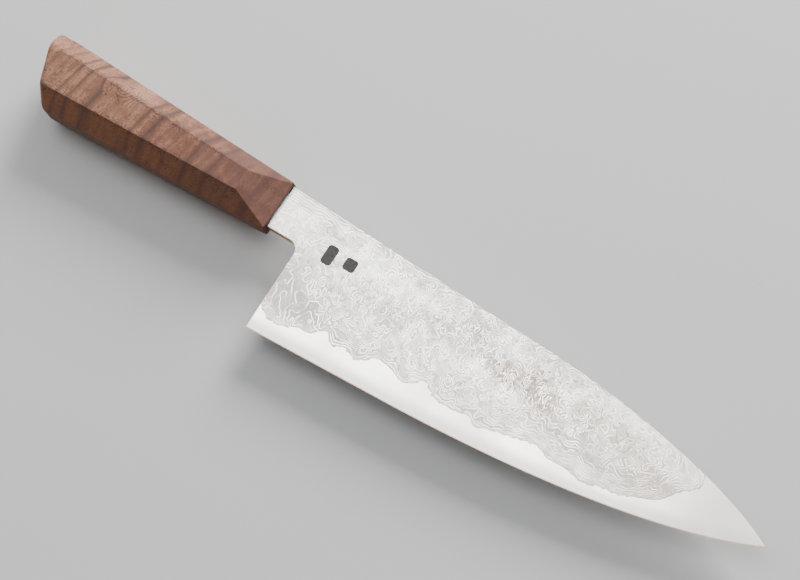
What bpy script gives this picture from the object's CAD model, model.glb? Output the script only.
"""Looks of the chef knife: fine meshes, materials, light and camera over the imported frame.

Shapes are designed in millimetres with the knife upright, edge down, as in the part's source:
x = 0 is the front of the handle, z = 0 its axis, +X runs to the tip and the right face of the
blade looks along -Y.  LAY then lays each piece on its left side, where the frame has it.
"""
import math

import bmesh
import bpy
import numpy as np
from mathutils import Matrix, Vector, kdtree
from mathutils.geometry import delaunay_2d_cdt


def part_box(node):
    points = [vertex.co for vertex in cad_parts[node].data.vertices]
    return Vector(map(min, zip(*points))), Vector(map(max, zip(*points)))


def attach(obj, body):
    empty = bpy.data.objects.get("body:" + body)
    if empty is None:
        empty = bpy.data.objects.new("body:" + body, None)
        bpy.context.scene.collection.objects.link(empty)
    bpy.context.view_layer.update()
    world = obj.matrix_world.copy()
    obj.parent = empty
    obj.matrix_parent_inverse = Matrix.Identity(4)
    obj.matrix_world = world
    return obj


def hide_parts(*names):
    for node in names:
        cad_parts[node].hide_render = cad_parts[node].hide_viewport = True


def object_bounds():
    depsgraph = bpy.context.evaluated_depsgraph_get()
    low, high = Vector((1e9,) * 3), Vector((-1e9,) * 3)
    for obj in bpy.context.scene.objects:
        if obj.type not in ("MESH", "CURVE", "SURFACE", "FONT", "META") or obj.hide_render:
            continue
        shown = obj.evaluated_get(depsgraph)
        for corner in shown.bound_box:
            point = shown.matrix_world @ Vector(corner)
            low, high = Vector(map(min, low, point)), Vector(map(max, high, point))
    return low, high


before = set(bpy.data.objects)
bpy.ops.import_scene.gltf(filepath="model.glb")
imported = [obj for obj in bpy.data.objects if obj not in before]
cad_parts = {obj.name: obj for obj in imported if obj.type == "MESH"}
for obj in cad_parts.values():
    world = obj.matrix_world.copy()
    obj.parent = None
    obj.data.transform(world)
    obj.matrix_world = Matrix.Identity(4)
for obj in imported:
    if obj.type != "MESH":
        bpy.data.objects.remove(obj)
cad_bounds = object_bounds()

MM = 0.001

# ---------------------------------------------------------------- blade, mm
EDGE_LENGTH = 205.0
HEEL = np.array((15.0, -45.5))
EDGE_RISE = 0.054
EDGE_FLAT_END = 75.0
TIP_ABOVE_HEEL = 29.9
BELLY_PULL = (64.3, 27.5)           # how far the belly keeps its direction, at its start and at the tip
BELLY_TIP_SLOPE = 0.5
SPINE_AT_HANDLE = 9.88
SPINE_FALL = 0.0385
SPINE_FLAT_END = 118.0
NOSE_PULL = (27.3, 25.2)            # the same two lengths for the spine's drop to the tip
NOSE_TIP_FALL = 0.54
NECK_BOTTOM = -8.9
CHOIL_RADIUS = 4.2
BLADE_START = 0.3

TAPER_AT = (0.0, 15.0, 60.0, 130.0, 190.0)
TAPER_HALF = (1.9, 1.9, 1.38, 1.02, 0.62)
TIP_HALF = 0.18
FLAT_FRACTION = 0.35                # part of the blade's height that is left flat
GRIND_POWER = 1.6
SHOULDER_HALF = 0.12                # half thickness where the cutting bevel starts
BEVEL_HEIGHT = 0.6
EDGE_HALF = 0.015
ROUNDING = 0.45                     # of the spine, the neck and the choil
ROUNDING_SHARE = 0.35               # and never more than this share of the half thickness

CORE_SHARE = 0.36                   # core thickness as a share of the blade's
LAYER_GAP = 0.02
CLADDING_MIN = 0.12
SEAM_TOP = 0.01                     # the core steps down under the cladding between these two
SEAM_BOTTOM = 0.05

TANG_LENGTH = 80.0
TANG_HALF_HEIGHT = (6.5, 4.0)
TANG_HALF = (1.6, 1.2)
SHOULDER_STEP = 0.02                # length over which the blade's thickness drops to the tang's
SHOULDER_SHARE = 0.98               # of the tang's height, that this step runs over

STAMP_DEPTH = 0.12
STAMP_WALL = 0.16
STAMP_TALL = {"centre": (27.5, -6.0), "size": (4.8, 8.3), "corner": 1.6}
STAMP_SQUARE = {"centre": (36.4, -5.3), "size": (5.3, 5.3), "corner": 1.3}

# Height of the cladding's lower rim above the cutting edge: (x, height)
CLADDING_RIM = (
    (14.0, 11.2), (19.8, 7.0), (22.6, 6.3), (28.0, 6.9), (32.4, 8.9), (37.4, 9.1),
    (40.7, 11.6), (43.2, 12.8), (46.2, 9.8), (48.2, 9.0), (51.6, 10.6), (57.6, 8.6),
    (61.4, 10.2), (64.4, 12.6), (68.8, 12.4), (73.0, 11.2), (76.8, 9.6), (81.0, 10.8),
    (84.5, 13.7), (88.0, 11.6), (92.0, 9.4), (100.8, 9.0), (105.2, 9.6), (109.0, 7.0),
    (113.0, 8.1), (122.6, 9.4), (132.0, 10.3), (137.2, 7.8), (144.8, 6.8), (152.6, 4.4),
    (158.8, 5.3), (165.0, 4.9), (171.0, 6.3), (178.2, 8.0), (182.6, 12.3), (185.0, 14.2),
    (188.0, 16.0), (188.6, 19.0), (187.4, 23.0),
)

RIM_CRINKLE = 0.16                  # height of small waves on that line

# Brownish patches of the etched cladding: (x, z, radius along, radius across, strength)
BROWN_PATCHES = (
    (49.0, -11.0, 5.5, 5.5, 0.4), (62.0, -13.0, 7.0, 5.0, 0.45), (66.0, 3.5, 8.0, 2.5, 0.5),
    (79.0, -7.0, 6.0, 4.0, 0.65), (92.5, -1.5, 5.5, 4.5, 0.85), (97.0, -8.5, 5.5, 3.5, 0.65),
    (95.0, -23.0, 4.0, 3.5, 0.65), (106.0, -10.0, 5.0, 5.5, 0.9), (114.0, -11.5, 6.0, 4.5, 0.9),
    (119.5, -8.0, 6.0, 6.5, 0.9), (127.0, -13.0, 4.0, 5.0, 0.75), (128.0, -3.5, 6.0, 3.5, 0.45),
    (142.0, -8.0, 7.0, 6.0, 0.5), (158.0, -9.0, 7.0, 5.0, 0.5), (172.0, -13.0, 8.0, 5.0, 0.4),
    (176.0, -20.0, 14.0, 5.0, 0.35),
)
# Greyer, broadly layered parts, and pale washed ones
GREY_PATCHES = (
    (14.0, -22.0, 15.0, 8.0, 0.9), (22.0, -28.0, 10.0, 6.0, 0.8), (29.0, -30.0, 10.0, 5.0, 1.0),
    (45.0, -33.0, 8.0, 4.0, 0.6), (57.0, -31.0, 8.0, 3.0, 0.4),
    (142.0, -14.0, 12.0, 8.0, 0.55), (166.0, -21.0, 20.0, 6.0, 0.8),
    (184.0, -17.0, 7.0, 6.0, 0.8),
)
PALE_PATCHES = (
    (6.0, 0.0, 12.0, 9.0, 0.9), (42.0, 0.0, 12.0, 7.0, 0.9), (55.0, -3.5, 9.0, 5.0, 1.0),
    (71.0, -1.5, 7.0, 3.5, 0.6), (75.0, -17.0, 6.0, 4.0, 0.5), (99.0, -15.0, 6.0, 3.5, 1.0),
    (108.0, -17.0, 7.0, 2.5, 1.0), (116.0, -16.5, 5.0, 2.5, 1.0), (104.0, -1.0, 7.0, 3.0, 0.7),
    (88.0, -18.0, 6.0, 4.0, 0.5), (134.0, -4.0, 6.0, 2.5, 0.7), (160.0, -1.5, 14.0, 2.5, 0.6),
    (150.0, -10.0, 3.0, 3.0, 0.5),
)

FLOW_PITCH = 1.0                    # spacing of the layers that follow the rim and the spine
FLOW_DEPTH = 5.0                    # and how far in they do
HAMMERED = 4.6                      # layers that the hammering shifts up and down elsewhere
CONTRAST_LOST = (0.35, 0.4, 0.25)   # share that the lines lose by the handle, the tip and the rim

# ---------------------------------------------------------------- handle, mm
HANDLE_LENGTH = 115.0
BUTT = {"half_height": 15.5, "half_width": 12.6, "side": 8.1, "top": 4.8}
FRONT = {"half_height": 10.8, "half_width": 10.7, "side": 3.8, "top": 3.3}
BUTT_PLANE_X = -112.4
BUTT_SLANT = 0.41
BUTT_RADIUS = 2.7
NOSE_START = -15.2
NOSE_HALF = 3.9
CRISP_RIDGE = 0.3
# Rounding of the eight ridges, in the order of eight_sides: along the handle and at the butt
RIDGES = (0.6, 0.6, 0.9, CRISP_RIDGE, CRISP_RIDGE, CRISP_RIDGE, CRISP_RIDGE, 0.9)
BUTT_RIDGES = (6.5, 6.5, 6.0, 3.0, 3.0, 3.0, 3.0, 6.0)
BUTT_BLEND = 11.0                   # length over which one changes to the other
FRONT_EASE = 0.4
SLOT_HALF_WIDTH = 2.2
SLOT_HALF_HEIGHT = 7.3
SLOT_DEPTH = 82.5
SLOT_OVERRUN = 2.0                  # how far the broach stands out of the front

# Dark bands across the grain: (x, half width, strength)
WOOD_BANDS = (
    (-109.5, 0.8, 0.5), (-105.0, 1.0, 0.35), (-98.5, 0.5, 0.8), (-93.4, 0.7, 0.95),
    (-84.4, 2.3, 1.0), (-80.5, 0.4, 0.3), (-69.0, 0.5, 0.2), (-63.2, 1.2, 0.9), (-57.2, 1.5, 1.0),
    (-51.5, 0.8, 0.4), (-46.5, 1.0, 0.5), (-37.0, 1.6, 1.0), (-32.0, 0.5, 0.35), (-27.6, 1.4, 0.95),
    (-22.5, 0.6, 0.4), (-17.5, 0.7, 0.5), (-8.5, 2.0, 0.95), (-3.0, 0.8, 0.4),
)
GRAIN_LEAN = 0.19                   # how far the grain moves forward for each step up
WOOD_EYE = (-77.0, -11.5, 6.8)      # centre of the knot
WOOD_EYE_RADIUS = 9.0               # how far its rings reach
WOOD_GLOW = (-71.5, -9.5, 10.5)     # middle of a pale part beside it

# ---------------------------------------------------------------- mesh steps, mm
BEZIER_POINTS = 200
LINE_STEP = 0.8
SPINE_LINE_END = 4.0                # how far from the tip the spine's inner lines end
BEVEL_LINE_END = 6.0                # and the evenly spaced part of the bevel's
GRID_STEP = 1.5
GRID_CLEARANCE = 0.45               # share of that step that the grid keeps from the lines
RIM_STEP = 0.45
SLOPE_STEP = 0.2                    # for finding slopes of the layers by difference
TOUCHING = 1e-6
CORNER_STEP = 15.0                  # degrees
SHARP_STEEL = 40.0                  # edges with more than this many degrees stay sharp
SHARP_WOOD = 35.0
CORNER_POINTS = 6                   # on each ridge of the handle

# ---------------------------------------------------------------- camera and light
CAMERA_AIM = (57.4, 0.0, -3.4)      # point of the blade's middle plane at the picture's centre
CAMERA_DISTANCE = 618.6
CAMERA_AZIMUTH = 15.8               # towards the tip
CAMERA_DIP = 10.4                   # below the edge
CAMERA_ROLL = 33.6
CAMERA_LENS = 74.7
CAMERA_SENSOR = 36.0


# ================================================================ curves of the blade
def bezier_line(p0, p1, p2, p3):
    t = np.linspace(0.0, 1.0, BEZIER_POINTS)[:, None]
    return (1 - t)**3 * p0 + 3 * (1 - t)**2 * t * p1 + 3 * (1 - t) * t**2 * p2 + t**3 * p3


def straight_edge(x):
    return HEEL[1] + EDGE_RISE * (x - HEEL[0])


def straight_spine(x):
    return SPINE_AT_HANDLE - SPINE_FALL * x


TIP = HEEL + np.array((math.sqrt(EDGE_LENGTH**2 - TIP_ABOVE_HEEL**2), TIP_ABOVE_HEEL))
BELLY_START = np.array((EDGE_FLAT_END, straight_edge(EDGE_FLAT_END)))
NOSE_BEGIN = np.array((SPINE_FLAT_END, straight_spine(SPINE_FLAT_END)))
BELLY = bezier_line(BELLY_START, BELLY_START + BELLY_PULL[0] * np.array((1, EDGE_RISE)),
                    TIP - BELLY_PULL[1] * np.array((1, BELLY_TIP_SLOPE)), TIP)
NOSE = bezier_line(NOSE_BEGIN, NOSE_BEGIN + NOSE_PULL[0] * np.array((1, -SPINE_FALL)),
                   TIP - NOSE_PULL[1] * np.array((1, -NOSE_TIP_FALL)), TIP)


def edge_z(x):
    return np.where(x <= EDGE_FLAT_END, straight_edge(x), np.interp(x, BELLY[:, 0], BELLY[:, 1]))


def spine_z(x):
    return np.where(x <= SPINE_FLAT_END, straight_spine(x), np.interp(x, NOSE[:, 0], NOSE[:, 1]))


def stations(start, end, step):
    """Evenly spaced numbers from start to end, both included."""
    return np.linspace(start, end, max(1, round(abs(end - start) / step)) + 1)


def along(xs, height):
    """Points at every x of a list, with the z that a function gives."""
    return np.column_stack((xs, height(xs)))


def choil_line(inset):
    """Neck underside, choil and heel edge, moved into the steel by inset."""
    centre = np.array((HEEL[0] - CHOIL_RADIUS, NECK_BOTTOM - CHOIL_RADIUS))
    radius = CHOIL_RADIUS + inset
    neck = [(x, NECK_BOTTOM + inset) for x in stations(BLADE_START, centre[0], LINE_STEP)[:-1]]
    turns = np.radians(stations(90.0, 0.0, CORNER_STEP / 2))
    arc = [centre + radius * np.array((math.cos(turn), math.sin(turn))) for turn in turns]
    heel = [(HEEL[0] + inset, z) for z in stations(centre[1], HEEL[1] + inset, LINE_STEP)[1:]]
    return np.array(neck + arc + heel)


def blade_outline():
    """Blade, neck and tang in one closed outline, anticlockwise from the tip."""
    front, end = TANG_HALF_HEIGHT
    spine_back = along(stations(TIP[0], BLADE_START, LINE_STEP), spine_z)
    tang = [(BLADE_START, front), (0.0, front), (-TANG_LENGTH, end),
            (-TANG_LENGTH, -end), (0.0, -front), (BLADE_START, -front)]
    edge = along(stations(HEEL[0], TIP[0], LINE_STEP)[1:-1], edge_z)
    return np.vstack((spine_back, tang, choil_line(0.0), edge))


def smooth_line(points, step):
    """Catmull-Rom curve through the points, with a point about every step."""
    padded = np.vstack((points[:1], points, points[-1:]))
    out = []
    for p0, p1, p2, p3 in zip(padded, padded[1:], padded[2:], padded[3:]):
        count = max(1, round(np.linalg.norm(p2 - p1) / step))
        for t in np.arange(count) / count:
            out.append(0.5 * (2 * p1 + (p2 - p0) * t + (2 * p0 - 5 * p1 + 4 * p2 - p3) * t**2
                              + (3 * p1 - p0 - 3 * p2 + p3) * t**3))
    return np.vstack((out, points[-1:]))


def shifted(line, distance):
    """The line moved sideways, towards the cutting edge; the distance is one number or one a point."""
    ahead = np.gradient(line, axis=0)
    ahead /= np.linalg.norm(ahead, axis=1)[:, None]
    return line + np.column_stack((ahead[:, 1], -ahead[:, 0])) * np.reshape(distance, (-1, 1))


def crinkled(line):
    """The line with the small waves that the etched weld shows."""
    run = RIM_STEP * np.arange(len(line))
    waves = np.sin(1.7 * run + 1.3 * np.sin(0.31 * run)) + 0.6 * np.sin(3.4 * run + 1.0)
    return shifted(line, RIM_CRINKLE * waves * (1.0 + 0.7 * np.sin(0.17 * run)))


RIM_AT = np.array([x for x, _ in CLADDING_RIM])
RIM = np.column_stack((RIM_AT, edge_z(RIM_AT) + [height for _, height in CLADDING_RIM]))
RIM = crinkled(smooth_line(RIM, RIM_STEP))
RIM = np.vstack(([(-2.0 * TANG_LENGTH, RIM[0, 1])], RIM))    # so that neck and tang count as clad


def above_rim(points):
    """Distance from the cladding's lower rim, positive on the clad side."""
    best = np.full(len(points), np.inf)
    side = np.ones(len(points))
    for a, b in zip(RIM, RIM[1:]):
        step = b - a
        t = np.clip((points - a) @ step / (step @ step), 0.0, 1.0)
        away = points - (a + t[:, None] * step)
        distance = np.linalg.norm(away, axis=1)
        nearer = distance < best - TOUCHING
        best[nearer] = distance[nearer]
        turn = step[0] * away[:, 1] - step[1] * away[:, 0]
        side[nearer] = np.where(turn[nearer] >= 0, 1.0, -1.0)
    return side * best


# ================================================================ thickness of the blade
def room(points):
    """Distances from the spine, and from the neck's underside, the choil and the heel."""
    x, z = points.T
    slope = np.gradient(spine_z(np.array((x - 0.5, x + 0.5))), axis=0)[0]
    to_spine = (spine_z(x) - z) / np.hypot(1.0, slope)
    corner = np.maximum(points - (HEEL[0] - CHOIL_RADIUS, NECK_BOTTOM - CHOIL_RADIUS), 0.0)
    to_choil = np.linalg.norm(corner, axis=1) - CHOIL_RADIUS
    return np.maximum(0.0, to_spine), np.maximum(0.0, to_choil)


def ground_half(points):
    """Half thickness of the blade with its grind and cutting bevel, before rounding."""
    x, z = points.T
    tang = TANG_HALF[0] + (TANG_HALF[1] - TANG_HALF[0]) * -x / TANG_LENGTH
    half = np.interp(x, TAPER_AT + (TIP[0],), TAPER_HALF + (TIP_HALF,))
    top, bottom = spine_z(x), edge_z(x)
    height = np.maximum(top - bottom, 0.01)
    ground = np.clip(((top - z) / height - FLAT_FRACTION) / (1 - FLAT_FRACTION), 0.0, 1.0)
    flank = SHOULDER_HALF + (half - SHOULDER_HALF) * (1.0 - ground**GRIND_POWER)
    bevel = EDGE_HALF + (SHOULDER_HALF - EDGE_HALF) * np.maximum(0.0, z - bottom) / BEVEL_HEIGHT
    flank = np.where((x >= HEEL[0]) & (z - bottom < BEVEL_HEIGHT), bevel, flank)
    return np.where(x <= 0.0, tang, flank)


def rounded_half(points):
    """Half thickness of the finished blade, rounded along the spine and the choil."""
    half = ground_half(points)
    radius = np.minimum(ROUNDING, ROUNDING_SHARE * half)
    lacking = np.clip(radius - np.minimum(*room(points)), 0.0, radius)
    return half - (radius - np.sqrt(radius**2 - lacking**2)) * (points[:, 0] > 0.0)


def core_half(points):
    """Half thickness of the core where cladding covers it."""
    outside = ground_half(points)
    return np.minimum(CORE_SHARE * outside, outside - CLADDING_MIN - LAYER_GAP)


# ================================================================ flat plates of steel
def rounded_loop(stamp, inset):
    """Rounded rectangle, inset from its full size."""
    centre = np.array(stamp["centre"])
    straight = np.array(stamp["size"]) / 2 - stamp["corner"]
    loop = []
    for quarter, signs in enumerate(((1, 1), (-1, 1), (-1, -1), (1, -1))):
        for turn in np.radians(90.0 * quarter + stations(0.0, 90.0, CORNER_STEP)):
            spoke = np.array((math.cos(turn), math.sin(turn)))
            loop.append(centre + np.array(signs) * straight + (stamp["corner"] - inset) * spoke)
    return np.array(loop)


def inside_loop(points, loop):
    crossings = np.zeros(len(points), int)
    for a, b in zip(loop, np.roll(loop, -1, axis=0)):
        if a[1] == b[1]:
            continue
        between = (a[1] > points[:, 1]) != (b[1] > points[:, 1])
        crossing_x = a[0] + (b[0] - a[0]) * (points[:, 1] - a[1]) / (b[1] - a[1])
        crossings += between & (points[:, 0] < crossing_x)
    return crossings % 2 == 1


def flat_mesh(lines, loops):
    """Triangles that fill the blade's outline and follow every inner line and loop."""
    outline = blade_outline()
    chains = [(line, False) for line in lines] + [(loop, True) for loop in loops]
    points = list(outline)
    edges = [(i, (i + 1) % len(outline)) for i in range(len(outline))]
    for chain, closed in chains:
        first = len(points)
        edges += [(first + i, first + i + 1) for i in range(len(chain) - 1)]
        if closed:
            edges.append((len(points) + len(chain) - 1, first))
        points += list(chain)
    taken = kdtree.KDTree(len(points))
    for i, (x, z) in enumerate(points):
        taken.insert((x, z, 0.0), i)
    taken.balance()
    for x in stations(-TANG_LENGTH, TIP[0], GRID_STEP):
        for z in stations(HEEL[1], SPINE_AT_HANDLE, GRID_STEP):
            if taken.find((x, z, 0.0))[2] > GRID_CLEARANCE * GRID_STEP:
                points.append((x, z))
    outline_face = [list(range(len(outline)))]
    flat = [Vector(point) for point in points]
    verts, _, faces, _, _, _ = delaunay_2d_cdt(flat, edges, outline_face, 1, TOUCHING)
    return np.array([tuple(v) for v in verts]), np.array([tuple(f) for f in faces])


def plate(name, points, faces, right, left, fields):
    """Closed plate over the flat triangles.

    right and left hold each side's y at every point, and fields names extra values to store
    at the points for the materials.
    """
    used, corners = np.unique(faces, return_inverse=True)
    corners = corners.reshape(-1, 3)
    count = len(used)
    flat = points[used]
    near = np.column_stack((flat[:, 0], right[used], flat[:, 1]))
    far = np.column_stack((flat[:, 0], left[used], flat[:, 1]))
    sides = [(a, b) for face in corners for a, b in zip(face, np.roll(face, -1))]
    inner = set(sides)
    walls = [(b, a, a + count, b + count) for a, b in sides if (b, a) not in inner]
    polygons = [tuple(face) for face in corners]
    polygons += [tuple(face[::-1] + count) for face in corners]
    polygons += walls
    mesh = bpy.data.meshes.new(name)
    mesh.from_pydata([tuple(co * MM) for co in np.vstack((near, far))], [], polygons)
    for field, values in fields.items():
        attribute = mesh.attributes.new(field, "FLOAT", "POINT")
        attribute.data.foreach_set("value", np.tile(values[used], 2).astype(np.float32))
    mesh.shade_smooth()
    mesh.set_sharp_from_angle(angle=math.radians(SHARP_STEEL))
    return place(name, mesh)


def add_object(name, data):
    thing = bpy.data.objects.new(name, data)
    bpy.context.scene.collection.objects.link(thing)
    return thing


def place(name, mesh):
    """The object of a mesh that was made in the upright frame, laid down on its left side."""
    thing = add_object(name, mesh)
    thing.matrix_world = LAY
    return thing


def frame_of_the_knife():
    """The matrix that takes the upright frame, in metres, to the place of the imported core."""
    low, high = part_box("core_steel")
    shift = Vector((high.x - TIP[0] * MM, low.y - HEEL[1] * MM, 0.5 * (low.z + high.z)))
    return Matrix.Translation(shift) @ Matrix.Rotation(math.radians(-90.0), 4, "X")


LAY = frame_of_the_knife()


def bumps(points, patches):
    """Sum of soft round patches at every point, at most 1."""
    total = np.zeros(len(points))
    for x, z, along_x, across, strength in patches:
        distance = ((points[:, 0] - x) / along_x)**2 + ((points[:, 1] - z) / across)**2
        total += strength * np.exp(-distance)
    return np.minimum(total, 1.0)


def fade(values, start, end):
    """Smooth step from 0 at start to 1 at end."""
    t = np.clip((values - start) / (end - start), 0.0, 1.0)
    return t * t * (3.0 - 2.0 * t)


def layer_fields(points):
    """How the stack of layers lies: its level without hammering, and how far it is hammered about.

    The layers follow the rim, hardly at the heel and deeper in towards the tip, and the spine,
    deepest at the neck.  The hammering moves them less there and in the grey patches of the heel.
    """
    x, z = points.T
    rim = np.maximum(above_rim(points), 0.0)
    spine = np.maximum(spine_z(x) - z, 0.0)
    along_rim = 0.15 + 0.85 * fade(x, 30.0, 50.0)
    rim_depth = FLOW_DEPTH * (1.0 + fade(x, 105.0, 130.0))
    neck = 1.0 - fade(x, 8.0, 42.0)
    spine_depth = FLOW_DEPTH * (0.5 + 1.2 * neck)
    level = (along_rim * rim_depth * np.tanh(rim / rim_depth)
             + spine_depth * np.tanh(spine / spine_depth)) / FLOW_PITCH
    calm_rim = along_rim * np.exp(-(rim / rim_depth)**2)
    calm_spine = np.exp(-(spine / spine_depth)**2)
    hammered = HAMMERED * (1.0 - 0.7 * calm_rim) * (1.0 - 0.8 * calm_spine) * (1.0 - 0.4 * neck)
    calm_grey = 1.0 - 0.68 * bumps(points, GREY_PATCHES) * (1.0 - fade(x, 60.0, 90.0))
    return level * (1.0 + 0.4 * fade(x, 100.0, 140.0)), hammered * calm_grey


def line_contrast(points):
    """The etched lines are faint by the handle, towards the tip and where they follow the rim."""
    x = points[:, 0]
    by_rim = np.exp(-(above_rim(points) / 7.0)**2) * fade(x, 50.0, 90.0)
    by_handle = 1.0 - fade(x, 15.0, 35.0)
    by_tip = fade(x, 125.0, 165.0)
    lost_by_handle, lost_by_tip, lost_by_rim = CONTRAST_LOST
    return (1.0 - lost_by_handle * by_handle) * (1.0 - lost_by_tip * by_tip) * (1.0 - lost_by_rim * by_rim)


def inset_lines():
    """Lines just inside the rounded outline, so that the rounding has steps to follow."""
    lines = []
    spine = along(stations(BLADE_START, TIP[0] - SPINE_LINE_END, LINE_STEP), spine_z)
    for share in (0.05, 0.3, 1.0):
        lines.append(spine - (0.0, share * ROUNDING))
        lines.append(choil_line(share * ROUNDING))
    return lines


def shoulder_lines():
    """Two close lines where the thickness steps up from the tang's to the blade's."""
    tall = SHOULDER_SHARE * TANG_HALF_HEIGHT[0]
    return [np.array(((x, -tall), (x, tall))) for x in (0.0, SHOULDER_STEP)]


def bevel_line():
    line = along(stations(HEEL[0], TIP[0] - BEVEL_LINE_END, LINE_STEP), edge_z) + (0.0, BEVEL_HEIGHT)
    last = TIP - (3.0 * BEVEL_HEIGHT, 0.0)
    last[1] = spine_z(last[0])
    return np.vstack((line, [last]))


def make_core():
    lines = inset_lines() + shoulder_lines()
    lines += [bevel_line(), shifted(RIM[1:], SEAM_TOP), shifted(RIM[1:], SEAM_BOTTOM)]
    points, faces = flat_mesh(lines, [])
    rim = above_rim(points)
    half = np.where(rim < -0.5 * (SEAM_TOP + SEAM_BOTTOM), rounded_half(points), core_half(points))
    fields = {"edge": points[:, 1] - edge_z(points[:, 0]), "choil": room(points)[1]}
    return plate("core_steel_look", points, faces, -half, half, fields)


def make_cladding(name, side, stamps):
    """Cladding of one face; side is -1 for the right face and +1 for the left."""
    rims = [rounded_loop(stamp, 0.0) for stamp in stamps]
    floors = [rounded_loop(stamp, STAMP_WALL) for stamp in stamps]
    points, faces = flat_mesh(inset_lines() + shoulder_lines() + [RIM[1:]], rims + floors)
    clad = faces[above_rim(points[faces].mean(axis=1)) > 0.0]
    outer, inner = rounded_half(points), core_half(points) + LAYER_GAP
    stamp_field = np.zeros(len(points))
    for stamp in stamps:
        sunk = inside_loop(points, rounded_loop(stamp, 0.5 * STAMP_WALL))
        outer[sunk] -= STAMP_DEPTH
        stamp_field[sunk] = 1.0
    level, hammered = layer_fields(points)
    fields = {
        "rim": above_rim(points),
        "choil": room(points)[1],
        "level": level,
        "level_x": (layer_fields(points + (SLOPE_STEP, 0.0))[0] - level) / SLOPE_STEP,
        "level_z": (layer_fields(points + (0.0, SLOPE_STEP))[0] - level) / SLOPE_STEP,
        "hammered": hammered,
        "contrast": line_contrast(points),
        "stamp": stamp_field,
        "brown": bumps(points, BROWN_PATCHES),
        "grey": bumps(points, GREY_PATCHES),
        "pale": bumps(points, PALE_PATCHES),
    }
    low, high = (-outer, -inner) if side < 0 else (inner, outer)
    return plate(name, points, clad, low, high, fields)


# ================================================================ handle
def eight_sides(share):
    """Corners (y, z) of the handle's section, a share of the way from butt to front."""
    height, width, side, top = (BUTT[key] + (FRONT[key] - BUTT[key]) * share
                                for key in ("half_height", "half_width", "side", "top"))
    return ((-top, height), (top, height), (width, side), (width, -side),
            (top, -height), (-top, -height), (-width, -side), (-width, side))


def rounded_corners(corners, inset, radii):
    """The polygon, inset, with an arc at every corner."""
    ring = []
    corners = np.array(corners)
    for before, here, after, radius in zip(np.roll(corners, 1, axis=0), corners,
                                           np.roll(corners, -1, axis=0), radii):
        outwards = []
        for side in (here - before, after - here):
            outwards.append(np.array((-side[1], side[0])) / np.linalg.norm(side))
        first, last = outwards
        centre = here - (inset + radius) * (first + last) / (1.0 + first @ last)
        for t in np.linspace(0.0, 1.0, CORNER_POINTS):
            spoke = (1.0 - t) * first + t * last
            ring.append(centre + radius * spoke / np.linalg.norm(spoke))
    return ring


def section(x, slant, inset, radii):
    """Rounded octagon where the handle meets a plane that leans back by slant."""
    corners = []
    for (y0, z0), (y1, z1) in zip(eight_sides(0.0), eight_sides(1.0)):
        share = (x - slant * z0 + HANDLE_LENGTH) / (HANDLE_LENGTH + slant * (z1 - z0))
        corners.append((y0 + (y1 - y0) * share, z0 + (z1 - z0) * share))
    return [Vector((x - slant * z, y, z)) * MM for y, z in rounded_corners(corners, inset, radii)]


def handle_sections():
    """Sections from the rounded butt to the eased front."""
    quarter = np.radians(stations(90.0, 0.0, CORNER_STEP))
    butt = [(BUTT_RADIUS * (1.0 - math.sin(a)), BUTT_RADIUS * (1.0 - math.cos(a))) for a in quarter]
    butt += [(offset, 0.0) for offset in stations(BUTT_RADIUS, BUTT_BLEND, GRID_STEP)[1:]]
    sections = []
    for offset, inset in butt:
        blend = 1.0 - fade(offset, 0.0, BUTT_BLEND)
        radii = [ridge + (sanded - ridge) * blend for ridge, sanded in zip(RIDGES, BUTT_RIDGES)]
        sections.append(section(BUTT_PLANE_X + offset, BUTT_SLANT, inset, radii))
    for a in quarter[::-1]:
        x = -FRONT_EASE * (1.0 - math.sin(a))
        sections.append(section(x, 0.0, FRONT_EASE * (1.0 - math.cos(a)), RIDGES))
    return sections


def cut(bm, point, normal):
    """Planes the bar flat at a point; the normal looks away from the wood that is kept."""
    geometry = bm.verts[:] + bm.edges[:] + bm.faces[:]
    planed = bmesh.ops.bisect_plane(bm, geom=geometry, plane_co=Vector(point) * MM,
                                    plane_no=Vector(normal), clear_outer=True)
    rim = [item for item in planed["geom_cut"] if isinstance(item, bmesh.types.BMEdge)]
    facet = bmesh.ops.edgeloop_fill(bm, edges=rim)["faces"]
    bm.normal_update()
    return [e for face in facet for e in face.edges]


def make_handle():
    """One block of wood: eight tapering sides, a slanted butt and two nose facets."""
    bm = bmesh.new()
    rings = [[bm.verts.new(co) for co in ring] for ring in handle_sections()]
    bm.faces.new(rings[0])
    bm.faces.new(reversed(rings[-1]))
    for ring, following in zip(rings, rings[1:]):
        for i in range(len(ring)):
            j = (i + 1) % len(ring)
            bm.faces.new((ring[j], ring[i], following[i], following[j]))
    share = (HANDLE_LENGTH + NOSE_START) / HANDLE_LENGTH
    start_half = BUTT["half_width"] + (FRONT["half_width"] - BUTT["half_width"]) * share
    for side in (-1, 1):
        rim = cut(bm, (0, side * NOSE_HALF, 0), (start_half - NOSE_HALF, -side * NOSE_START, 0))
        bmesh.ops.bevel(bm, geom=rim, offset=CRISP_RIDGE * MM, segments=2, profile=0.5,
                        affect="EDGES", clamp_overlap=True)
    bmesh.ops.recalc_face_normals(bm, faces=bm.faces)    # a filled facet may face inwards
    mesh = bpy.data.meshes.new("handle_look")
    bm.to_mesh(mesh)
    bm.free()
    mesh.shade_smooth()
    handle = broach(place("handle_look", mesh))
    handle.data.set_sharp_from_angle(angle=math.radians(SHARP_WOOD))
    flats = handle.modifiers.new("flat facets", "WEIGHTED_NORMAL")
    flats.keep_sharp = True
    return handle


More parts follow.
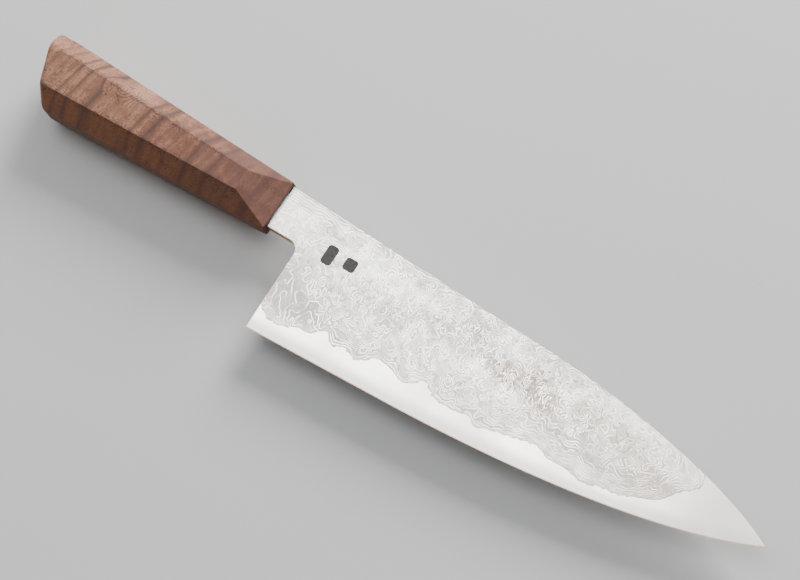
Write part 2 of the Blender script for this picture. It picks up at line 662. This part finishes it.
def broach(handle):
    """Cuts the slot for the tang into the front of the handle."""
    bm = bmesh.new()
    bmesh.ops.create_cube(bm, size=2.0)
    half = Vector((0.5 * SLOT_DEPTH + SLOT_OVERRUN, SLOT_HALF_WIDTH, SLOT_HALF_HEIGHT)) * MM
    for vert in bm.verts:
        vert.co *= half
        vert.co.x -= (0.5 * SLOT_DEPTH - SLOT_OVERRUN) * MM
    cutter_mesh = bpy.data.meshes.new("slot")
    bm.to_mesh(cutter_mesh)
    bm.free()
    cutter = place("slot", cutter_mesh)
    modifier = handle.modifiers.new("slot", "BOOLEAN")
    modifier.object = cutter
    modifier.solver = "EXACT"
    bpy.context.view_layer.update()
    cut_handle = handle.evaluated_get(bpy.context.evaluated_depsgraph_get())
    solid = bpy.data.meshes.new_from_object(cut_handle)
    handle.modifiers.clear()
    handle.data = solid
    bpy.data.objects.remove(cutter, do_unlink=True)
    return handle


# ================================================================ node helpers
class Graph:
    """Builds a material's or the world's nodes, one call a node."""

    def __init__(self, tree):
        self.tree = tree

    def node(self, kind, inputs=None, **settings):
        made = self.tree.nodes.new(kind)
        for key, value in settings.items():
            setattr(made, key, value)
        for key, value in (inputs or {}).items():
            self.feed(made.inputs[key], value)
        return made

    def feed(self, socket, value):
        if isinstance(value, bpy.types.NodeSocket):
            self.tree.links.new(value, socket)
        else:
            socket.default_value = value

    def math(self, operation, a, b=0.0, c=0.0, clamp=False):
        made = self.node("ShaderNodeMath", {0: a, 1: b, 2: c}, operation=operation, use_clamp=clamp)
        return made.outputs[0]

    def add(self, a, b):
        return self.math("ADD", a, b)

    def times(self, a, b):
        return self.math("MULTIPLY", a, b)

    def vector(self, operation, a, b=(0.0, 0.0, 0.0), scale=1.0):
        made = self.node("ShaderNodeVectorMath", {0: a, 1: b}, operation=operation)
        if operation == "SCALE":
            self.feed(made.inputs["Scale"], scale)
        return made.outputs[0]

    def axes(self, vector):
        return self.node("ShaderNodeSeparateXYZ", {0: vector}).outputs

    def distance(self, vector, point):
        offset = self.vector("SUBTRACT", vector, point)
        return self.node("ShaderNodeVectorMath", {0: offset}, operation="LENGTH").outputs["Value"]

    def step(self, value, low, high, to_low=0.0, to_high=1.0):
        """Smooth step: to_low below low, to_high above high."""
        inputs = {"Value": value, "From Min": low, "From Max": high, "To Min": to_low, "To Max": to_high}
        return self.node("ShaderNodeMapRange", inputs, interpolation_type="SMOOTHSTEP").outputs[0]

    def mix(self, factor, a, b, blend="MIX"):
        """Mixes two colours."""
        made = self.node("ShaderNodeMix", data_type="RGBA", blend_type=blend)
        self.feed(made.inputs["Factor"], factor)
        self.feed(made.inputs[6], a)
        self.feed(made.inputs[7], b)
        return made.outputs[2]

    def noise(self, vector, size, detail=2.0, roughness=0.5):
        """Noise whose features are about size wide; value and colour outputs."""
        inputs = {"Vector": vector, "Scale": 1.0 / size, "Detail": detail, "Roughness": roughness}
        return self.node("ShaderNodeTexNoise", inputs)

    def attribute(self, name):
        return self.node("ShaderNodeAttribute", attribute_name=name).outputs["Fac"]

    def millimetres(self):
        """The point in the knife's upright frame, in millimetres."""
        place_in_knife = self.node("ShaderNodeTexCoord").outputs["Object"]
        return self.vector("SCALE", place_in_knife, scale=1.0 / MM)

    def stretched(self, vector, sizes):
        """The point with each axis divided by a size, for streaks."""
        return self.vector("DIVIDE", vector, sizes)

    def bump(self, height, depth_mm):
        """depth_mm is the height of the bump where the value goes from 0 to 1."""
        inputs = {"Height": height, "Distance": depth_mm * MM, "Strength": 1.0}
        return self.node("ShaderNodeBump", inputs).outputs["Normal"]

    def ramp(self, factor, stops):
        """Grey ramp through stops of (position, value)."""
        made = self.node("ShaderNodeValToRGB", {"Fac": factor})
        elements = made.color_ramp.elements
        while len(elements) > 1:
            elements.remove(elements[-1])
        elements[0].position, elements[0].color = stops[0][0], grey(stops[0][1])
        for position, value in stops[1:]:
            elements.new(position).color = grey(value)
        return made.outputs["Color"]


def grey(value):
    return (value, value, value, 1.0)


def new_material(name):
    material = bpy.data.materials.new(name)
    material.use_nodes = True
    return material, Graph(material.node_tree), material.node_tree.nodes["Principled BSDF"]


def dress(g, shader, colour, roughness, height, relief):
    """Feeds the shader; relief is how deep, in mm, the height goes."""
    g.feed(shader.inputs["Base Color"], colour)
    g.feed(shader.inputs["Roughness"], roughness)
    g.feed(shader.inputs["Normal"], g.bump(height, relief))


def scratches(g, place_mm, length, width):
    """Fine brushing along the blade, 0 to 1."""
    streaks = g.stretched(place_mm, (length, width, width))
    return g.noise(streaks, 1.0, 3.0, 0.65).outputs["Fac"]


# ================================================================ steel
PATINA = (0.26, 0.155, 0.085, 1)      # of the unpolished choil and of the neck's underside

SATIN_DARK = (0.36, 0.358, 0.353, 1)
SATIN_LIGHT = (0.48, 0.478, 0.47, 1)
BURNISHED = (0.95, 0.93, 0.91, 1)     # towards the cutting edge
DULL_TIP = (0.26, 0.252, 0.246, 1)
CLOUDED = (0.40, 0.38, 0.362, 1)
EDGE_OXIDE = (0.24, 0.125, 0.07, 1)   # brownish line of the cutting edge itself
SATIN_RELIEF = 0.006                  # depth of the brushing, mm

LAYER_DARK = (0.235, 0.228, 0.219, 1)
LAYER_LIGHT = (0.39, 0.381, 0.369, 1)
FROSTED = (0.52, 0.513, 0.502, 1)
WASHED = (0.66, 0.655, 0.645, 1)
GREYED = (0.20, 0.193, 0.185, 1)
BROWNED = (0.17, 0.14, 0.112, 1)
PALED = (0.62, 0.622, 0.618, 1)
DARK_LINE = (0.13, 0.10, 0.08, 1)
BRIGHT_LINE = (0.99, 0.985, 0.98, 1)
WARMED = (1.0, 0.975, 0.945, 1)       # the front half of the blade is a little warmer
WELD_LINE = (0.20, 0.185, 0.172, 1)
SOOT_DARK = (0.014, 0.014, 0.015, 1)
SOOT_LIGHT = (0.042, 0.0415, 0.041, 1)
ETCH_RELIEF = 0.01                    # depth of the etched lines, mm
HILL_GAIN = 3.0                       # brings the noise's narrow range to about one
LEAST_SLOPE = 0.12                    # layers a mm; stops lines from spreading on level ground


def at_choil(g):
    return g.step(g.attribute("choil"), 0.18, 0.7, 1.0, 0.0)


def core_material():
    """Satin carbon steel, brushed lengthwise, with a burnished cutting edge."""
    material, g, shader = new_material("core_satin_steel")
    spot = g.millimetres()
    brushed = scratches(g, spot, 22.0, 0.16)
    broad = scratches(g, spot, 60.0, 2.2)
    cloud = g.noise(spot, 26.0, 2.0).outputs["Fac"]
    edge = g.attribute("edge")
    colour = g.mix(g.step(brushed, 0.3, 0.7), SATIN_DARK, SATIN_LIGHT)
    colour = g.mix(g.step(edge, 1.5, 7.0, 0.0, 0.9), colour, BURNISHED)
    towards_tip = g.axes(spot)["X"]
    colour = g.mix(g.step(towards_tip, 160.0, 200.0, 0.0, 0.9), colour, DULL_TIP)
    colour = g.mix(g.step(cloud, 0.35, 0.7, 0.0, 0.5), colour, CLOUDED)
    colour = g.mix(g.step(edge, 0.15, 0.55, 0.85, 0.0), colour, EDGE_OXIDE)
    colour = g.mix(at_choil(g), colour, PATINA)
    rough = g.add(brushed, g.times(broad, 0.4))
    height = g.add(brushed, g.times(broad, 0.3))
    dress(g, shader, colour, g.step(rough, 0.4, 1.0, 0.27, 0.42), height, SATIN_RELIEF)
    shader.inputs["Metallic"].default_value = 1.0
    return material


def hammering(g, flat):
    """How high the hammering left the stack at a point, from 0 to 1."""
    for size, reach in ((13.0, 8.0), (4.2, 2.4), (1.0, 0.6)):
        pushed = g.vector("SUBTRACT", g.noise(flat, size, 1.0).outputs["Color"], (0.5, 0.5, 0.5))
        flat = g.vector("ADD", flat, g.vector("SCALE", pushed, scale=reach))
    return g.noise(flat, 4.9, 1.0, 0.45).outputs["Fac"]


def layer_stack(g, flat):
    """Level of the stack of layers and its slope, so that the lines can keep an even width."""
    relief = g.attribute("hammered")
    hills = hammering(g, flat)
    level = g.add(g.times(g.math("SUBTRACT", hills, 0.5), g.times(relief, HILL_GAIN)), g.attribute("level"))
    slopes = []
    for step, flow in (((SLOPE_STEP, 0.0, 0.0), "level_x"), ((0.0, 0.0, SLOPE_STEP), "level_z")):
        rise = g.math("SUBTRACT", hammering(g, g.vector("ADD", flat, step)), hills)
        slopes.append(g.add(g.times(rise, g.times(relief, HILL_GAIN / SLOPE_STEP)), g.attribute(flow)))
    steep = g.math("SQRT", g.add(g.times(slopes[0], slopes[0]), g.times(slopes[1], slopes[1])))
    return level, g.math("MAXIMUM", steep, LEAST_SLOPE)


def cladding_material(name, seed):
    """Etched pattern-welded steel: the ground layers show as contour lines of the hammered stack."""
    material, g, shader = new_material(name)
    spot = g.millimetres()
    rim = g.attribute("rim")
    brown, pale, greyish = g.attribute("brown"), g.attribute("pale"), g.attribute("grey")
    flat = g.vector("MULTIPLY", spot, (1.0, 0.0, 1.0))
    flat = g.vector("ADD", flat, (0.0, seed, 0.0))
    level, steep = layer_stack(g, flat)

    # Thin bright layers at whole levels, thin dark ones half way between
    from_bright = g.math("DIVIDE", g.math("PINGPONG", level, 0.5), steep)
    half_up = g.math("SUBTRACT", 0.5, g.math("PINGPONG", level, 0.5))
    from_dark = g.math("DIVIDE", half_up, steep)
    wear = g.noise(flat, 4.5, 3.0).outputs["Fac"]
    crowded = g.step(steep, 1.1, 2.4, 1.0, 0.35)
    width = g.math("MULTIPLY_ADD", pale, 0.16, 0.24)
    line = g.times(g.step(from_bright, 0.04, width, 1.0, 0.0), g.step(wear, 0.38, 0.58, 0.12, 1.0))
    etched = g.step(g.math("MAXIMUM", brown, greyish), 0.1, 0.6, 0.8, 1.0)
    line = g.times(g.times(line, crowded), g.times(g.attribute("contrast"), etched))
    dark_line = g.times(g.step(from_dark, 0.04, 0.24, 1.0, 0.0), g.times(crowded, g.attribute("contrast")))

    # Each layer has its own tone, frosted, washed pale in places and stained in others
    tone = g.node("ShaderNodeTexWhiteNoise", {"W": g.math("FLOOR", level)},
                  noise_dimensions="1D").outputs["Value"]
    frost = g.noise(flat, 0.8, 3.0, 0.6).outputs["Fac"]
    base = g.mix(g.step(tone, 0.2, 0.9), LAYER_DARK, LAYER_LIGHT)
    base = g.mix(g.step(frost, 0.3, 0.7, 0.0, 0.25), base, FROSTED)
    washed = g.noise(flat, 8.0, 4.0, 0.6).outputs["Fac"]
    base = g.mix(g.step(washed, 0.48, 0.66, 0.0, 0.4), base, WASHED)
    base = g.mix(g.times(greyish, 0.85), base, GREYED)
    base = g.mix(g.times(brown, 0.9), base, BROWNED)
    base = g.mix(g.times(pale, 0.5), base, PALED)
    dark_strength = g.math("MULTIPLY_ADD", brown, 0.4, 0.5)
    base = g.mix(g.times(dark_line, dark_strength), base, DARK_LINE)
    speck = g.step(g.noise(flat, 1.1, 2.0).outputs["Fac"], 0.60, 0.70)
    line = g.math("MAXIMUM", line, g.times(speck, g.step(brown, 0.2, 0.7, 0.25, 0.9)))
    colour = g.mix(line, base, BRIGHT_LINE)
    towards_tip = g.axes(spot)["X"]
    colour = g.mix(g.step(towards_tip, 70.0, 130.0), colour, WARMED, "MULTIPLY")

    # The weld line at the lower rim is darker, and the stamps are black
    colour = g.mix(g.step(rim, 0.18, 0.55, 0.72, 0.0), colour, WELD_LINE)
    colour = g.mix(at_choil(g), colour, PATINA)
    stamp = g.step(g.attribute("stamp"), 0.2, 0.8)
    soot = g.noise(spot, 0.9, 3.0).outputs["Fac"]
    colour = g.mix(stamp, colour, g.mix(soot, SOOT_DARK, SOOT_LIGHT))

    brushed = scratches(g, spot, 16.0, 0.2)
    roughness = g.add(g.step(line, 0.0, 1.0, 0.38, 0.30), g.times(brushed, 0.06))
    roughness = g.add(roughness, g.times(stamp, 0.2))
    height = g.add(line, g.add(g.times(brushed, 0.3), g.times(g.times(stamp, soot), 2.0)))
    dress(g, shader, colour, roughness, height, ETCH_RELIEF)
    shader.inputs["Metallic"].default_value = 1.0
    return material


# ================================================================ wood and epoxy
WOOD_DARK = (0.24, 0.108, 0.073, 1)
WOOD_LIGHT = (0.47, 0.238, 0.160, 1)
WOOD_BUTT = (0.52, 0.28, 0.182, 1)
WOOD_UNDER = (0.27, 0.114, 0.056, 1)
WOOD_FRONT = (0.12, 0.064, 0.053, 1)
WOOD_BOTTOM = (0.05, 0.027, 0.018, 1)
END_GRAIN = (0.035, 0.019, 0.014, 1)
CURL = (0.15, 0.074, 0.055, 1)
GRAIN = (0.13, 0.062, 0.046, 1)
MOTTLE = (0.16, 0.070, 0.055, 1)
GLOW = (0.52, 0.29, 0.20, 1)
BAND = (0.078, 0.050, 0.045, 1)
RING = (0.09, 0.045, 0.033, 1)
PORE = (0.045, 0.028, 0.025, 1)
WOOD_RELIEF = 0.03                    # depth of the open pores, mm
BAND_MARGIN = 6.0                     # the bands' scale runs from this far behind the butt, mm
BAND_FADE = 0.7                       # a band fades out over this much more than its width
BAND_PEAK = -0.3                      # and is darkest a little behind its middle

EPOXY_DARK = (0.10, 0.065, 0.03, 1)
EPOXY_LIGHT = (0.20, 0.14, 0.07, 1)
EPOXY_RELIEF = 0.05                   # mm


def dark_bands(g, across):
    """Strength of the dark bands at a place across the grain; a ramp has room for half of them."""
    span = HANDLE_LENGTH + BAND_MARGIN
    share = g.math("DIVIDE", g.add(across, span), span, clamp=True)
    ramps = []
    for bands in (WOOD_BANDS[0::2], WOOD_BANDS[1::2]):
        stops = [(0.0, 0.0)]
        for x, half_width, strength in bands:
            reach = half_width + BAND_FADE
            for offset, value in ((-reach, 0.0), (BAND_PEAK, strength), (reach, 0.0)):
                stops.append(((x + offset + span) / span, value))
        ramps.append(g.ramp(share, stops))
    return g.math("MAXIMUM", *ramps)


def wood_material():
    """Oiled figured walnut: dark bands and fine grain across the handle, pores and one swirl."""
    material, g, shader = new_material("figured_walnut")
    spot = g.millimetres()

    # The grain rises across the handle and leans a little; round the knot it closes into rings
    grain_place = g.node("ShaderNodeVectorRotate", {"Vector": spot, "Axis": (0.0, 1.0, 0.0),
                         "Angle": math.atan(-GRAIN_LEAN)}, rotation_type="AXIS_ANGLE").outputs[0]
    pushed = g.vector("SUBTRACT", g.noise(spot, 9.0, 3.0).outputs["Color"], (0.5, 0.5, 0.5))
    grain_place = g.vector("ADD", grain_place, g.vector("SCALE", pushed, scale=1.3))
    across = g.times(g.axes(grain_place)["X"], math.hypot(1.0, GRAIN_LEAN))
    ragged = g.vector("ADD", spot, g.vector("SCALE", pushed, scale=3.2))
    away = g.stretched(g.vector("SUBTRACT", ragged, WOOD_EYE), (1.15, 1.0, 0.8))
    distance = g.node("ShaderNodeVectorMath", {0: away}, operation="LENGTH").outputs["Value"]
    knot = g.step(distance, 0.35 * WOOD_EYE_RADIUS, WOOD_EYE_RADIUS, 1.0, 0.0)
    ring = g.add(distance, WOOD_EYE[0] - GRAIN_LEAN * WOOD_EYE[2])
    across = g.add(g.times(across, g.math("SUBTRACT", 1.0, knot)), g.times(ring, knot))
    dark = dark_bands(g, across)

    # Fine figure, and pores that lie denser beside the ridges of the broad side
    curl = g.noise(g.stretched(grain_place, (2.0, 9.0, 11.0)), 1.0, 2.0, 0.5).outputs["Fac"]
    grain = g.noise(g.stretched(grain_place, (0.6, 0.8, 1.7)), 1.0, 4.0, 0.75).outputs["Fac"]
    mottle = g.noise(g.stretched(spot, (1.3, 1.0, 1.0)), 1.0, 4.0, 0.7).outputs["Fac"]
    dashes = g.noise(g.stretched(spot, (1.0, 0.35, 0.35)), 1.0, 2.0, 0.5).outputs["Fac"]
    open_grain = g.noise(spot, 6.0, 2.0).outputs["Fac"]
    place = g.axes(spot)
    side_tapers = (FRONT["side"] - BUTT["side"]) / HANDLE_LENGTH
    side_height = g.math("MULTIPLY_ADD", place["X"], side_tapers, FRONT["side"])
    from_ridge = g.math("ABSOLUTE", g.math("SUBTRACT", g.math("ABSOLUTE", place["Z"]), side_height))
    crushed = g.add(g.times(open_grain, 0.4), g.step(from_ridge, 0.3, 2.2, 0.12, 0.0))
    pore = g.step(g.add(dashes, crushed), 0.78, 0.90)
    cloud = g.noise(spot, 7.0, 4.0, 0.6).outputs["Fac"]
    rings = g.step(g.math("PINGPONG", across, 0.6), 0.06, 0.28, 1.0, 0.0)
    rings = g.times(rings, g.step(distance, 0.5 * WOOD_EYE_RADIUS, 1.2 * WOOD_EYE_RADIUS, 0.75, 0.0))

    # Colour: the base differs along and under the handle, and the figure lies over it
    facing = g.axes(g.node("ShaderNodeTexCoord").outputs["Normal"])
    under = g.step(facing["Z"], -0.6, -0.3, 1.0, 0.0)
    base = g.mix(g.step(cloud, 0.32, 0.66), WOOD_DARK, WOOD_LIGHT)
    base = g.mix(g.step(place["X"], -105.0, -45.0, 0.55, 0.0), base, WOOD_BUTT)
    base = g.mix(g.times(under, 0.85), base, WOOD_UNDER)
    colour = g.mix(g.step(curl, 0.38, 0.66, 0.0, 0.5), base, CURL)
    colour = g.mix(g.step(grain, 0.42, 0.64, 0.0, 0.5), colour, GRAIN)
    colour = g.mix(g.step(mottle, 0.50, 0.66, 0.0, 0.45), colour, MOTTLE)
    colour = g.mix(g.step(g.distance(spot, WOOD_GLOW), 1.0, 12.0, 0.7, 0.0), colour, GLOW)
    faint_under = g.step(under, 0.0, 1.0, 0.95, 0.7)
    colour = g.mix(g.times(dark, faint_under), colour, BAND)
    colour = g.mix(rings, colour, RING)
    colour = g.mix(g.times(pore, 0.7), colour, PORE)
    towards_front = g.step(place["X"], -58.0, -14.0, 0.0, 0.65)
    colour = g.mix(g.times(towards_front, g.step(under, 0.0, 1.0, 1.0, 0.4)), colour, WOOD_FRONT)
    colour = g.mix(g.step(facing["Z"], -0.97, -0.85, 0.75, 0.0), colour, WOOD_BOTTOM)
    colour = g.mix(g.step(facing["X"], 0.5, 0.85, 0.0, 0.85), colour, END_GRAIN)
    height = g.math("SUBTRACT", g.times(grain, 0.4), pore)
    dress(g, shader, colour, g.step(grain, 0.3, 0.8, 0.50, 0.64), height, WOOD_RELIEF)
    shader.inputs["Specular IOR Level"].default_value = 0.12
    return material


def epoxy_material():
    """Set epoxy, slightly cloudy."""
    material, g, shader = new_material("set_epoxy")
    cloud = g.noise(g.millimetres(), 1.2, 3.0).outputs["Fac"]
    colour = g.mix(cloud, EPOXY_DARK, EPOXY_LIGHT)
    dress(g, shader, colour, g.step(cloud, 0.2, 0.8, 0.3, 0.45), cloud, EPOXY_RELIEF)
    return material


# ================================================================ pieces on the frame
def take_over(piece, node, material):
    """The piece stands for a CAD node, and takes that node's place and material slot."""
    piece.data.materials.clear()
    piece.data.materials.append(material)
    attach(piece, "root")
    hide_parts(node)


take_over(make_core(), "core_steel", core_material())
take_over(make_cladding("cladding_right_look", -1, (STAMP_TALL, STAMP_SQUARE)),
          "cladding_right", cladding_material("etched_cladding_right", 0.0))
take_over(make_cladding("cladding_left_look", 1, ()),
          "cladding_left", cladding_material("etched_cladding_left", 40.0))
take_over(make_handle(), "handle_body", wood_material())
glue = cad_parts["tang_adhesive"]
glue.data.materials.clear()
glue.data.materials.append(epoxy_material())


# ================================================================ floor, light and camera
FLOOR_HALF = 6.0                      # m
FLOOR_DARK = (0.72, 0.73, 0.74, 1)
FLOOR_LIGHT = (0.76, 0.77, 0.78, 1)
ROOM_DIM = (0.08, 0.08, 0.08, 1)
ROOM_BY_WINDOW = (0.38, 0.385, 0.39, 1)
PANEL_LOW = (0.45, 0.42, 0.40, 1)
PANEL_HIGH = (6.3, 6.2, 6.1, 1)
BACKDROP = (1.0, 1.0, 1.0, 1)


def make_floor():
    material, g, shader = new_material("pale_floor")
    spot = g.node("ShaderNodeTexCoord").outputs["Object"]
    cloud = g.noise(spot, 0.4, 3.0).outputs["Fac"]
    g.feed(shader.inputs["Base Color"], g.mix(cloud, FLOOR_DARK, FLOOR_LIGHT))
    g.feed(shader.inputs["Roughness"], g.step(cloud, 0.2, 0.8, 0.7, 0.8))
    level = cad_bounds[0][2]
    mesh = bpy.data.meshes.new("floor")
    corners = [(x * FLOOR_HALF, y * FLOOR_HALF, level) for x, y in ((-1, -1), (1, -1), (1, 1), (-1, 1))]
    mesh.from_pydata(corners, [], [(0, 1, 2, 3)])
    mesh.materials.append(material)
    floor = add_object("floor", mesh)


def make_light(name, towards, distance, size, power, colour):
    """Square soft light in a direction from the knife, aimed at it.

    Steel does not mirror it: what steel mirrors are the panels of the world.
    """
    data = bpy.data.lights.new(name, "AREA")
    data.shape = "SQUARE"
    data.size = size
    data.energy = power
    data.color = colour
    lamp = add_object(name, data)
    direction = Vector(towards).normalized()
    lamp.location = direction * distance
    lamp.rotation_mode = "QUATERNION"
    lamp.rotation_quaternion = direction.to_track_quat("Z", "Y")
    lamp.visible_glossy = False


def make_world():
    """Soft studio: dim for what it lights, bright panels where polished steel mirrors it."""
    world = bpy.data.worlds.new("soft_studio")
    bpy.context.scene.world = world
    world.use_nodes = True
    g = Graph(world.node_tree)
    direction = g.axes(g.node("ShaderNodeTexCoord").outputs["Generated"])
    towards_window, height = direction["Y"], direction["Z"]
    dim = g.mix(g.step(towards_window, -0.6, 0.8), ROOM_DIM, ROOM_BY_WINDOW)
    above = g.add(height, g.times(towards_window, 0.5))
    panels = g.mix(g.step(above, -0.2, 0.75), PANEL_LOW, PANEL_HIGH)
    rays = g.node("ShaderNodeLightPath")
    background = world.node_tree.nodes["Background"]
    lit = g.mix(rays.outputs["Is Glossy Ray"], dim, panels)
    g.feed(background.inputs["Color"], g.mix(rays.outputs["Is Camera Ray"], lit, BACKDROP))


def make_camera():
    """Camera at the picture's viewing angle, worked out in the upright frame."""
    azimuth, dip, roll = (math.radians(a) for a in (CAMERA_AZIMUTH, CAMERA_DIP, CAMERA_ROLL))
    back = Vector((math.sin(azimuth) * math.cos(dip), -math.cos(azimuth) * math.cos(dip), -math.sin(dip)))
    level_right = Vector((0, 0, 1)).cross(back).normalized()
    level_up = back.cross(level_right)
    right = math.cos(roll) * level_right + math.sin(roll) * level_up
    up = -math.sin(roll) * level_right + math.cos(roll) * level_up
    position = (Vector(CAMERA_AIM) + back * CAMERA_DISTANCE) * MM
    pose = Matrix((right, up, back)).transposed().to_4x4()
    pose.translation = position
    data = bpy.data.cameras.new("camera")
    data.sensor_width = CAMERA_SENSOR
    data.lens = CAMERA_LENS
    data.clip_start = 0.01
    camera = add_object("camera", data)
    camera.matrix_world = LAY @ pose
    bpy.context.scene.camera = camera


make_floor()
make_world()
make_light("overhead", (-0.27, 0.18, 0.95), 1.5, 0.85, 7.0, (1.0, 0.99, 0.98))
make_light("window", (0.0, 0.9, 0.46), 1.8, 0.8, 54.0, (1.0, 0.98, 0.955))
make_camera()
